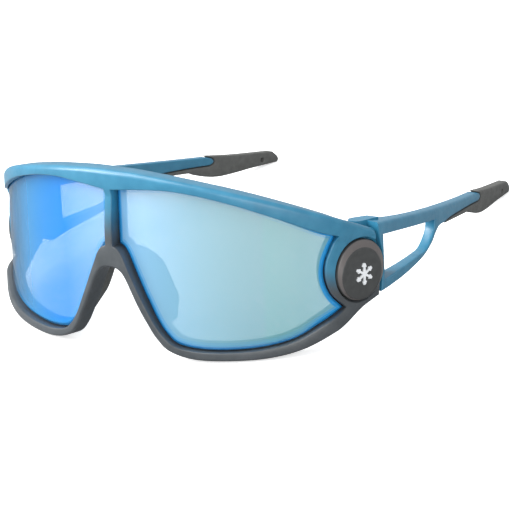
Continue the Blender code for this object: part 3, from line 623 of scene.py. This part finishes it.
def nose_pad_mesh():
    path = [(5.2, -26.0), (9.4, -33.6), (14.0, -41.0)]
    run = smooth([*mirrored(path), (0, -21.6), *path], 1.1)
    away = normals(run)
    section = [
        (0.3, 0.4), (0.0, 1.2), (0.3, 2.4), (4.0, 3.4), (7.6, 5.6), (8.6, 5.6), (8.8, 4.4), (6.0, 2.4),
    ]
    ends = ease(np.minimum(np.arange(len(run)), np.arange(len(run))[::-1]) / 6.0)
    points, faces = [], []
    for (s, v), (ds, dv), size in zip(run, away, ends):
        flare = 0.45 + 0.55 * ease(abs(s) / 6.0)
        depth_scale = 0.55 + 0.45 * size
        for depth, offset in section:
            reach = 1.6 + (offset * (flare if depth > 3 else 1) - 1.6) * (0.5 + 0.5 * size)
            points.append(on_front(s + ds * reach, v + dv * reach, FRAME_BACK - 0.3 - depth * depth_scale))
    count = len(section)
    for i in range(len(run) - 1):
        for j in range(count):
            a, b = i * count + j, i * count + (j + 1) % count
            faces.append((a, a + count, b + count, b))
    faces.append(tuple(range(count)))
    faces.append(tuple(range((len(run) - 1) * count, len(run) * count))[::-1])
    mesh = bpy.data.meshes.new("nose_saddle")
    mesh.from_pydata(points, [], faces)
    mesh.shade_smooth()
    return mesh


# ---------------------------------------------------------------- the round caps


def cap_mesh():
    skin = Skin(plain)
    steps = [
        (7.0, (-0.25, -1.08), CAP_TOP + 0.02), (7.5, (-0.25, -1.07), CAP_TOP),
        (7.7, (-0.25, -1.02), CAP_TOP - 0.07), (7.8, (-0.23, -0.93), CAP_TOP - 0.18),
        (7.86, (-0.22, -0.9), CAP_TOP - 0.16), (CAP_RADIUS - 0.35, (0, 0), 0.82),
        (CAP_RADIUS - 0.2, (0, 0), 0.73), (CAP_RADIUS - 0.05, (0, 0), 0.58), (CAP_RADIUS, (0, 0), 0.4),
        (CAP_RADIUS, (0, 0), POCKET_FLOOR + 0.5), (CAP_RADIUS - 0.2, (0, 0), POCKET_FLOOR + 0.3),
    ]
    rings = [skin.ring(circle(radius, centre), height) for radius, centre, height in steps]
    skin.wall(rings)
    bore = circle(1.3, (-SCREW_IN, 0))[::-1]
    hole = [skin.ring(bore, height) for height in (0.4, POCKET_FLOOR + 0.3)]
    skin.wall(hole)
    skin.fill([rings[0]])
    skin.fill([rings[-1], hole[1]], back=True)
    skin.fill([hole[0]], back=True)
    mesh = skin.mesh("cap_left", sharp=30)
    # The mask marks the cap's sloping chamfer, which the material paints lighter as a highlight.
    slope_highlight = np.zeros(len(mesh.vertices))
    slope_highlight[rings[4][0]:rings[7][0]] = 1
    mesh.attributes.new("slope_highlight", "FLOAT", "POINT").data.foreach_set("value", slope_highlight)
    return mesh


def badge_mesh():
    """A raised six-armed snow crystal."""
    outline = []
    for step in range(6):
        angle = math.radians(90 + 60 * step)
        along = np.array([math.cos(angle), math.sin(angle)])
        across = np.array([-along[1], along[0]])
        for reach, half in ((2.0, 0.3), (2.3, 0.75), (3.3, 0.32)):
            outline.append(along * reach - across * half)
        for reach, half in ((3.3, 0.32), (2.3, 0.75), (2.0, 0.3)):
            outline.append(along * reach + across * half)
        between = angle + math.radians(30)
        outline.append(np.array([math.cos(between), math.sin(between)]) * 0.8)
    edge = np.array(outline)
    skin = Skin(plain)
    rings = [skin.ring(edge * 0.97, 0.5), skin.ring(edge, 0.38), skin.ring(edge, 0.0)]
    skin.wall(rings)
    skin.fill([rings[0]])
    skin.fill([rings[2]], back=True)
    return skin.mesh("badge_left")


# ---------------------------------------------------------------- the temples


def temple_skin(stretches, edges, holes=()):
    skin = Skin(on_temple)
    outside = closed(stretches)

    def level(outline, share, step):
        y = outline[:, 0]
        return temple_outside(y) * (1 - share) + temple_inside(y) * share + step

    edges = np.array(edges)
    radius_at = np.concatenate([np.full(len(row) - 1, size) for row, size in zip(stretches, edges)])
    rings = []
    for inset, drop in rounding(1.0, 4):
        line = closed(shifted(stretches, list(edges * inset)))
        cut = mitre(line, np.median(edges) * drop)
        rings.append(skin.ring(cut, level(cut, 0, -radius_at * drop)))
    for inset, drop in reversed(rounding(0.4, 3)):
        line = closed(shifted(stretches, [inset] * len(stretches)))
        cut = mitre(line, TEMPLE_THICKNESS + 3.7 - drop)
        rings.append(skin.ring(cut, level(cut, 1, drop)))
    skin.wall(rings)
    fronts, backs = [rings[0]], [rings[-1]]
    for hole in holes:
        made = []
        for outline, share, step in hole:
            reverse = outline[::-1]
            made.append(skin.ring(reverse, level(reverse, share, step)))
        skin.wall(made)
        fronts.append(made[0])
        backs.append(made[-1])
    skin.fill(fronts, height=lambda u, v: float(temple_outside(u)), spacing=FILL)
    skin.fill(backs, height=lambda u, v: float(temple_inside(u)), spacing=FILL, back=True)
    return skin


def temple_mesh():
    stretches = temple_outline(FINE)
    wide = window_outline(FINE, 0.0)
    narrow = [resample(row, len(model) - 1) for row, model in zip(window_outline(FINE, 6.0), wide)]
    window = []
    for inset, drop in rounding(0.4, 3):
        window.append((closed(shifted(wide, [-inset] * 4)), 0, -drop))
    for inset, drop in reversed(rounding(0.4, 3)):
        window.append((closed(shifted(narrow, [-inset] * 4)), 1, drop))
    body = temple_skin(stretches, [0.5, 0.5, 0.5, 1.0, 0.5], [window]).mesh("temple_shell_left")
    block = [(KNUCKLE_RADIUS, 6.5), (-1.2, 5.2)]
    bore = turned("temple_bore", [
        (PIN_HOLE, PIN_BORE_TOP), (PIN_HOLE, INSERT_TOP), (INSERT_HOLE, INSERT_TOP),
        (INSERT_HOLE, UPPER_KNUCKLE[0] - 0.2), (PIN_HOLE, UPPER_KNUCKLE[0] - 0.2),
        (PIN_HOLE, PIN_HEAD_TOP), (PIN_HEAD_HOLE, PIN_HEAD_TOP), (PIN_HEAD_HOLE, LOWER_KNUCKLE[0] - 1),
    ], steps=40)
    to_front = FRONT.inverted() @ TEMPLE
    at = Matrix.Translation(Vector((*AXIS, 0)) * MM)
    steps = [("UNION", prism("block", knuckle_outline(block), *level)) for level in (UPPER_KNUCKLE, LOWER_KNUCKLE)]
    steps.append(("DIFFERENCE", moved(bore, at)))
    return combined("temple_shell_left", moved(body, to_front), steps)


def tip_mesh():
    hole = []
    for inset, drop in rounding(0.3, 3):
        hole.append((circle(0.8 + inset, (105, 2.43), 32), 0, -drop))
    for inset, drop in reversed(rounding(0.3, 3)):
        hole.append((circle(0.8 + inset, (105, 2.43), 32), 1, drop))
    return temple_skin(tip_outline(FINE), [0.5, 0.7, 0.3, 0.3, 0.3], [hole]).mesh("tip_rubber_left")


# ---------------------------------------------------------------- materials


def srgb(red, green, blue):
    """Linear colour from 0 to 255 display values."""
    values = [c / 255 for c in (red, green, blue)]
    return tuple(c / 12.92 if c <= 0.04045 else ((c + 0.055) / 1.055) ** 2.4 for c in values)


class Surface:
    """A Principled material with helpers for its nodes."""

    def __init__(self, name, **values):
        self.material = bpy.data.materials.new(name)
        self.material.use_nodes = True
        self.tree = self.material.node_tree
        self.shader = self.tree.nodes["Principled BSDF"]
        for key, value in values.items():
            self.shader.inputs[key.replace("_", " ")].default_value = value

    def node(self, kind, **values):
        made = self.tree.nodes.new(kind)
        for key, value in values.items():
            setattr(made, key, value)
        return made

    def link(self, source, target):
        self.tree.links.new(source, target)

    def noise(self, scale, detail=2.0, roughness=0.5):
        place = self.node("ShaderNodeTexCoord")
        made = self.node("ShaderNodeTexNoise")
        made.inputs["Scale"].default_value = scale
        made.inputs["Detail"].default_value = detail
        made.inputs["Roughness"].default_value = roughness
        self.link(place.outputs["Object"], made.inputs["Vector"])
        return made.outputs["Fac"]

    def ramp(self, source, stops):
        made = self.node("ShaderNodeValToRGB")
        ramp = made.color_ramp
        while len(ramp.elements) < len(stops):
            ramp.elements.new(0.5)
        for element, (position, colour) in zip(ramp.elements, stops):
            element.position = position
            element.color = (*colour, 1)
        self.link(source, made.inputs["Fac"])
        return made.outputs["Color"]

    def scaled(self, source, low, high):
        made = self.node("ShaderNodeMapRange")
        made.interpolation_type = "SMOOTHSTEP"
        made.inputs["From Min"].default_value = 0.2
        made.inputs["From Max"].default_value = 0.8
        made.inputs["To Min"].default_value = low
        made.inputs["To Max"].default_value = high
        self.link(source, made.inputs["Value"])
        return made.outputs["Result"]

    def mix(self, factor, first, second, blend="MIX"):
        made = self.node("ShaderNodeMix", data_type="RGBA", blend_type=blend)
        for key, value in (("Factor", factor), ("A", first), ("B", second)):
            socket = next(s for s in made.inputs if s.name == key and s.type in (
                ("VALUE",) if key == "Factor" else ("RGBA",)))
            if isinstance(value, (int, float)):
                socket.default_value = value
            elif isinstance(value, tuple):
                socket.default_value = (*value, 1)
            else:
                self.link(value, socket)
        return next(s for s in made.outputs if s.type == "RGBA")

    def bump(self, source, strength, distance):
        made = self.node("ShaderNodeBump")
        made.inputs["Strength"].default_value = strength
        made.inputs["Distance"].default_value = distance
        self.link(source, made.inputs["Height"])
        self.link(made.outputs["Normal"], self.shader.inputs["Normal"])

    def colour(self, source):
        self.link(source, self.shader.inputs["Base Color"])

    def roughness(self, source):
        self.link(source, self.shader.inputs["Roughness"])


def painted(name, blue_everywhere):
    """Satin paint with a faint orange-peel: blue that fades to grey where tint is 0."""
    made = Surface(name, Coat_Weight=0.5, Coat_Roughness=0.25)
    cloud = made.noise(220.0, 3.0)
    blue = made.mix(made.scaled(cloud, 0.0, 1.0), srgb(42, 121, 154), srgb(54, 133, 166))
    if blue_everywhere:
        made.colour(blue)
    else:
        grey = made.mix(made.scaled(cloud, 0.0, 1.0), srgb(62, 67, 70), srgb(74, 78, 81))
        tint = made.node("ShaderNodeAttribute", attribute_name="tint")
        made.colour(made.mix(tint.outputs["Fac"], grey, blue))
    made.roughness(made.scaled(made.noise(900.0, 4.0), 0.34, 0.46))
    made.bump(made.noise(5200.0, 2.0), 0.12, 0.00012)
    return made.material


def mirror_lens():
    """Blue mirror with painted reflection colours: by the angle it is seen at it turns from pale to deep blue as
    it curves away, and a painted greener reflection lies on its outer end.
    """
    made = Surface("blue_mirror", Metallic=0.25, Alpha=0.68, Coat_Weight=0.3, Coat_Roughness=0.02)
    facing = made.node("ShaderNodeLayerWeight")
    facing.inputs["Blend"].default_value = 0.5
    # The facing ramp paints the coating's reflection colours into the base colour, by the angle the lens is seen
    # at.
    sheen = made.ramp(facing.outputs["Facing"], [
        (0.03, srgb(132, 188, 196)), (0.16, srgb(150, 206, 238)), (0.38, srgb(40, 152, 247)),
        (0.6, srgb(74, 162, 222)), (0.85, srgb(56, 101, 115)),
    ])
    # The sweep paints a greener reflection on the outer end, only where the lens faces the viewer.
    reflection_sweep = made.node("ShaderNodeAttribute", attribute_name="reflection_sweep")
    edge_glow = made.node("ShaderNodeAttribute", attribute_name="edge_glow")
    head_on = made.ramp(facing.outputs["Facing"], [(0.1, (0.5, 0.5, 0.5)), (0.45, (0.0, 0.0, 0.0))])
    share = made.mix(1.0, reflection_sweep.outputs["Fac"], head_on, "MULTIPLY")
    swept_reflection = made.mix(share, sheen, srgb(128, 196, 196))
    # Painted highlight: the edge rings are painted bright blue where light comes through the lens edge.
    made.colour(made.mix(edge_glow.outputs["Fac"], swept_reflection, srgb(30, 170, 245)))
    made.roughness(made.scaled(made.noise(1500.0, 2.0), 0.03, 0.06))
    return made.material


def rubber():
    made = Surface("grip_rubber", Specular_IOR_Level=0.35)
    cloud = made.noise(400.0, 4.0)
    made.colour(made.mix(made.scaled(cloud, 0.0, 1.0), srgb(96, 96, 93), srgb(108, 108, 105)))
    made.roughness(made.scaled(made.noise(1200.0, 3.0), 0.55, 0.75))
    made.bump(made.noise(3600.0, 3.0), 0.3, 0.0002)
    return made.material


def cap_plastic():
    made = Surface("cap_plastic", Coat_Weight=0.2, Coat_Roughness=0.25)
    cloud = made.noise(500.0, 3.0)
    face = made.mix(made.scaled(cloud, 0.0, 1.0), srgb(60, 61, 60), srgb(70, 71, 70))
    # Painted highlight: the chamfer ring is painted a lighter warm grey where it catches light.
    slope_highlight = made.node("ShaderNodeAttribute", attribute_name="slope_highlight")
    made.colour(made.mix(slope_highlight.outputs["Fac"], face, srgb(104, 98, 96)))
    made.roughness(made.scaled(made.noise(1000.0, 3.0), 0.3, 0.42))
    made.bump(made.noise(4000.0, 2.0), 0.1, 0.0001)
    return made.material


def white_mark():
    made = Surface("white_moulding", Specular_IOR_Level=0.4)
    cloud = made.noise(900.0, 3.0)
    made.colour(made.mix(made.scaled(cloud, 0.0, 1.0), srgb(240, 242, 244), srgb(252, 253, 254)))
    made.roughness(made.scaled(cloud, 0.4, 0.55))
    return made.material


def turned_metal(name, dark, light):
    made = Surface(name, Metallic=1.0)
    cloud = made.noise(1500.0, 4.0)
    made.colour(made.mix(made.scaled(cloud, 0.0, 1.0), dark, light))
    made.roughness(made.scaled(made.noise(2500.0, 3.0), 0.25, 0.45))
    made.bump(made.noise(6000.0, 2.0), 0.08, 0.00005)
    return made.material


def floor_material():
    """Nearly white to the camera, and dark enough to the object not to light it from below."""
    made = Surface("pale_floor", Roughness=0.9)
    cloud = made.noise(3.0, 2.0)
    pale = made.mix(made.scaled(cloud, 0.0, 1.0), srgb(246, 246, 246), srgb(250, 250, 250))
    seen = made.node("ShaderNodeLightPath").outputs["Is Camera Ray"]
    made.colour(made.mix(seen, srgb(150, 152, 154), pale))
    glow = made.mix(seen, (0.0, 0.0, 0.0), (FLOOR_GLOW, FLOOR_GLOW, FLOOR_GLOW))
    made.link(glow, made.shader.inputs["Emission Color"])
    made.shader.inputs["Emission Strength"].default_value = 1.0
    return made.material


# ---------------------------------------------------------------- putting it together


def add_tint(mesh):
    """How blue the paint is at each point of the front: the brow and the upper rib and rings."""
    tint = mesh.attributes.new("tint", "FLOAT", "POINT")
    values = []
    for corner in mesh.vertices:
        s = float(np.interp(abs(corner.co.x) / MM, LENS_TABLE[1], LENS_TABLE[0]))
        v = corner.co.z / MM
        middle = float(np.interp(s, [0, 20, 60, 66, 72, 85], [-8.5, -10, -14, -25.5, -27, -27.5]))
        soft = float(np.interp(s, [0, 20, 60, 85], [6.5, 6, 4.0, 4.0]))
        values.append(float(ease((v - middle + soft) / (2 * soft))))
    tint.data.foreach_set("value", values)


def finish_piece(name, mesh, place, body, node, surface):
    made = put(name, mesh)
    mesh.transform(place)
    mesh.materials.clear()
    mesh.materials.append(surface)
    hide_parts(node)
    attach(made, body)
    return made


def build_pieces():
    paint = painted("front_paint", False)
    temple_paint = painted("temple_paint", True)
    lens = mirror_lens()
    grip = rubber()
    plastic = cap_plastic()
    mark = white_mark()
    steel = turned_metal("steel_turned", srgb(150, 150, 152), srgb(190, 190, 192))
    brass = turned_metal("brass_turned", srgb(176, 140, 70), srgb(206, 170, 96))

    front = whole_front()
    add_tint(front)
    finish_piece("front_shell", front, FRONT, "front", "front_frame", paint)
    saddle = finish_piece(
        "nose_saddle", nose_pad_mesh(), FRONT, "front", "nose_pad", grip
    )
    smoother = saddle.modifiers.new("round", "SUBSURF")
    smoother.levels = smoother.render_levels = 1
    meshes = {
        "lens": lens_mesh(), "cap": cap_mesh(), "badge": badge_mesh(), "temple": temple_mesh(),
        "tip": tip_mesh(),
    }
    for side, word in ((1, "left"), (-1, "right")):

        def sided(key):
            return meshes[key].copy() if side == 1 else flipped(meshes[key], key)

        finish_piece(f"lens_blue_{word}", sided("lens"), FRONT, "front", f"lens_{word}", lens)
        seat = FRONT @ cap_seat(side)
        finish_piece(f"cap_{word}", sided("cap"), seat, "front", f"disc_cap_{word}", plastic)
        on_cap = seat @ Matrix.Translation(Vector((side * 0.3, -1.1, CAP_TOP + 0.02)) * MM)
        finish_piece(f"badge_{word}", sided("badge"), on_cap, "front", f"disc_badge_{word}", mark)
        body = f"{word}_temple"
        finish_piece(f"temple_shell_{word}", sided("temple"), FRONT, body, f"temple_{word}", temple_paint)
        mirror_place = Matrix.Diagonal((-1, 1, 1, 1))
        temple_place = TEMPLE if side == 1 else mirror_place @ TEMPLE @ mirror_place
        finish_piece(f"tip_rubber_{word}", sided("tip"), temple_place, body, f"temple_tip_{word}", grip)
        for node, surface in (
            ("disc_screw", steel), ("hinge_screw", steel), ("hinge_washer", steel), ("hinge_insert", brass),
        ):
            kept = frame["nodes"][f"{node}_{word}"]
            for slot in kept.material_slots:
                slot.material = surface


def build_stage():
    bpy.ops.mesh.primitive_plane_add(size=6, location=(0, 0, 0))
    floor = bpy.context.object
    floor.name = "pale_floor"
    floor.data.materials.append(floor_material())
    world = bpy.data.worlds.new("studio")
    world.use_nodes = True
    tree = world.node_tree
    background = tree.nodes["Background"]
    background.inputs["Strength"].default_value = 1.0
    seen = tree.nodes.new("ShaderNodeLightPath")
    shade = tree.nodes.new("ShaderNodeMix")
    shade.data_type = "RGBA"
    shade.inputs[6].default_value = (*ROOM_LIGHT, 1)
    shade.inputs[7].default_value = (1, 1, 1, 1)
    tree.links.new(seen.outputs["Is Camera Ray"], shade.inputs[0])
    tree.links.new(shade.outputs[2], background.inputs["Color"])
    bpy.context.scene.world = world


def area_light(name, place, target, width, height, power):
    data = bpy.data.lights.new(name, "AREA")
    data.shape = "RECTANGLE"
    data.size = width
    data.size_y = height
    data.energy = power
    made = bpy.data.objects.new(name, data)
    bpy.context.scene.collection.objects.link(made)
    made.location = place
    made.rotation_mode = "QUATERNION"
    made.rotation_quaternion = (Vector(target) - Vector(place)).to_track_quat("-Z", "Y")
    return made


def build_lights():
    middle = (0, 0, 0.03)
    area_light("top_box", (-0.3, -0.25, 0.75), middle, 0.7, 0.5, 5.0)
    area_light("right_fill", (0.8, -0.9, 0.4), middle, 1.0, 1.0, 7.5)
    area_light("left_box", (-0.75, -0.6, 0.55), middle, 0.5, 0.6, 11.0)


def build_camera():
    azimuth, elevation, roll = math.radians(33.24), math.radians(8.62), math.radians(2.91)
    distance, aim_right, aim_down = 891.9, 42.01, 18.67
    forward = Vector((
        -math.sin(azimuth) * math.cos(elevation), math.cos(azimuth) * math.cos(elevation),
        -math.sin(elevation),
    ))
    level = Vector((math.cos(azimuth), math.sin(azimuth), 0))
    upright = level.cross(forward)
    right = level * math.cos(roll) + upright * math.sin(roll)
    up = upright * math.cos(roll) - level * math.sin(roll)
    eye = -forward * distance + right * aim_right - up * aim_down
    worn = Matrix.Translation(ORIGIN) @ TEMPLE_TURN
    data = bpy.data.cameras.new("camera")
    data.sensor_width = 36
    data.lens = 214.48
    data.clip_start = 0.01
    data.clip_end = 20
    camera = bpy.data.objects.new("camera", data)
    bpy.context.scene.collection.objects.link(camera)
    turned_axes = Matrix((right, up, -forward)).transposed().to_4x4()
    camera.matrix_world = worn @ Matrix.Translation(eye * MM) @ turned_axes
    bpy.context.scene.camera = camera


build_pieces()
build_stage()
build_lights()
build_camera()
bpy.context.scene.view_settings.view_transform = "Standard"
